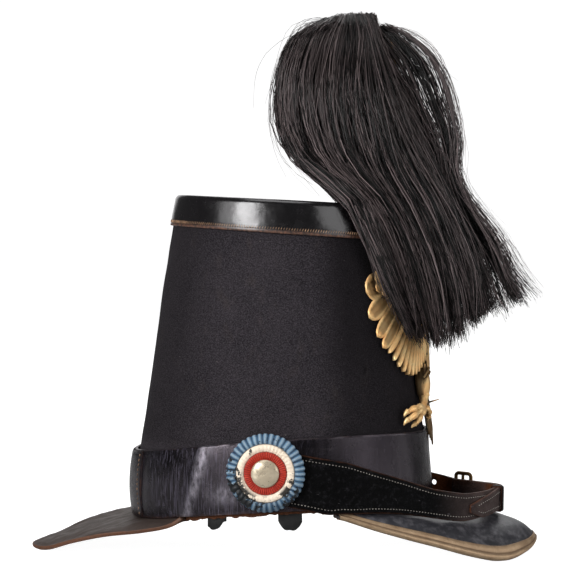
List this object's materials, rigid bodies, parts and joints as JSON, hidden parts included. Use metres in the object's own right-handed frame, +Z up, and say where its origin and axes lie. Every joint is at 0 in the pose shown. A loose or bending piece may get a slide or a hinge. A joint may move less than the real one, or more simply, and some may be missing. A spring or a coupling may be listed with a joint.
{
  "type": "shako hat",
  "caption": "Tall felt shako with a glossy leather lid, leather foot band, two peaks, stitched chin strap, painted rosette, brass eagle plate and hanging black horsehair plume.",
  "frame": {"origin": "on the surface it rests on, under the middle of the hat's outline", "axes": "+X to the front (over the front peak), +Y to the wearer's left, +Z up along the plume"},
  "size_m": [0.344, 0.1902, 0.3637],
  "materials": {
    "felt": "matt pressed wool felt",
    "patent": "glossy lacquered leather",
    "band_leather": "worn polished leather",
    "peak_leather": "smooth satin leather",
    "rear_leather": "dull worn leather",
    "strap_leather": "stitched blackened leather",
    "liner_leather": "thin black leather",
    "brass": "old polished brass",
    "rim_brass": "dull brown brass",
    "cockade_paint": "chipped paint in three rings",
    "silver": "tarnished silvered metal",
    "horsehair": "black horsehair"
  },
  "bodies": {
    "root": {"crown_shell": "felt", "top_cap": "patent", "base_band": "band_leather", "front_peak": "peak_leather", "front_peak_rim": "rim_brass", "rear_peak": "rear_leather", "strap_near": "strap_leather", "strap_far": "strap_leather", "strap_keeper": "strap_leather", "strap_buckle": "brass", "cockade": "cockade_paint", "cockade_button": "silver", "far_strap_button": "brass", "eagle_plate": "brass", "plume_hair": "horsehair", "plume_post": "brass", "liner_tab_rear": "liner_leather", "liner_tab_front": "liner_leather"}
  },
  "joints": []
}
